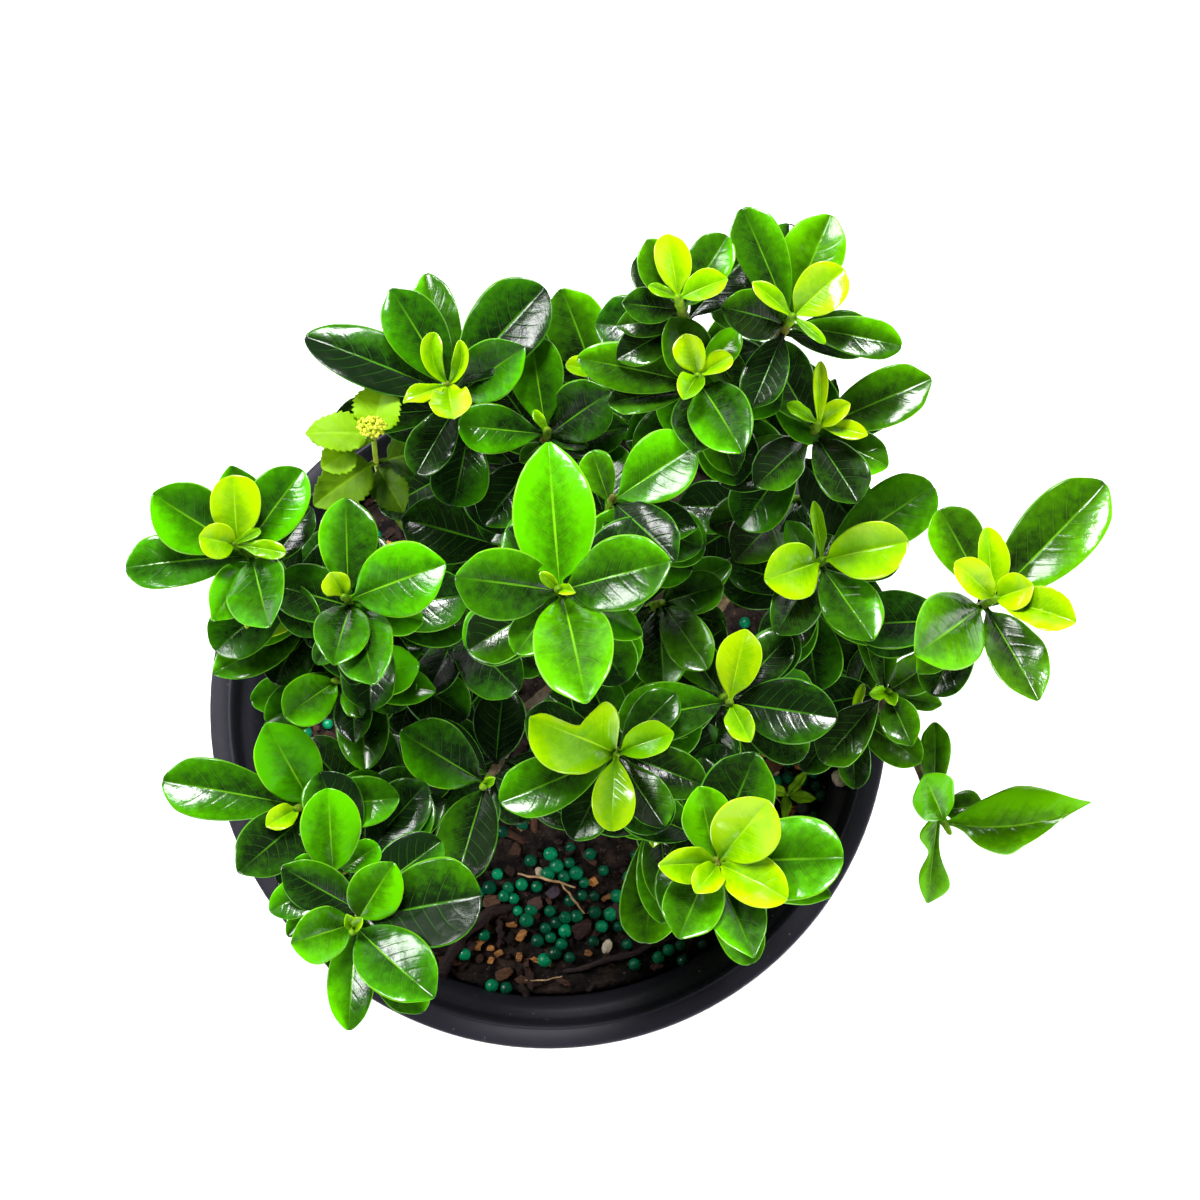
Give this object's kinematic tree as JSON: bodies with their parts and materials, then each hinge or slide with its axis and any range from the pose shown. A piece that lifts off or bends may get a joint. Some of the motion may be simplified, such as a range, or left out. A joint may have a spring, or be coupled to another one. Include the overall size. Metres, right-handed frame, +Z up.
{
  "type": "potted gardenia",
  "caption": "Dwarf gardenia shrub of glossy leafy stems with pale new growth, in soil in a round black plastic nursery pot.",
  "frame": {"origin": "centre of the flat underside of the pot, where it stands", "axes": "+Z up along the pot's axis; -Y is the front, the lower edge of the picture; +X is to the picture's right"},
  "size_m": [0.2524, 0.2066, 0.3767],
  "materials": {
    "pot_plastic": "satin moulded polypropylene with fine lines round the lip",
    "soil": "dark composted bark mix, crumbly and matt",
    "bark": "grey-brown bark with fine cracks",
    "leaf": "very glossy, dark green with pale veins",
    "young_leaf": "glossy, pale yellow-green",
    "weed_leaf": "soft, light green",
    "floret": "matt yellow-green"
  },
  "bodies": {
    "root": {"pot": "pot_plastic", "soil": "soil", "woody_stems": "bark", "crown": "leaf", "east_outer": "leaf", "southeast": "leaf", "west_outer": "leaf", "northwest": "leaf", "north_outer": "leaf", "northeast_tall": "leaf", "north_middle": "leaf", "north_crown": "leaf", "northeast": "leaf", "south_crown": "leaf", "west_upper": "leaf", "southwest_outer": "leaf", "southwest_node": "leaf", "centre_east": "leaf", "east_inner": "leaf", "north_inner": "leaf", "north_gap": "leaf", "west_inner": "leaf", "west_lower": "leaf", "southwest_inner": "leaf", "south_buds": "leaf", "centre_low": "leaf", "east_middle": "leaf", "northeast_low": "leaf", "south_inner": "leaf", "centre_west": "leaf", "centre_north": "leaf", "east_low": "leaf", "northwest_low": "leaf", "south_low": "leaf", "east_hanging": "leaf", "crown_young": "young_leaf", "east_outer_young": "young_leaf", "southeast_young": "young_leaf", "west_outer_young": "young_leaf", "northwest_young": "young_leaf", "north_outer_young": "young_leaf", "northeast_tall_young": "young_leaf", "north_middle_young": "young_leaf", "northeast_young": "young_leaf", "south_crown_young": "young_leaf", "west_upper_young": "young_leaf", "southwest_outer_young": "young_leaf", "centre_east_young": "young_leaf", "east_inner_young": "young_leaf", "north_inner_young": "young_leaf", "north_gap_young": "young_leaf", "west_inner_young": "young_leaf", "southwest_inner_young": "young_leaf", "south_buds_young": "young_leaf", "east_middle_young": "young_leaf", "south_inner_young": "young_leaf", "east_low_young": "young_leaf", "weed": "weed_leaf", "weed_flowers": "floret", "seedling": "weed_leaf"}
  },
  "joints": []
}
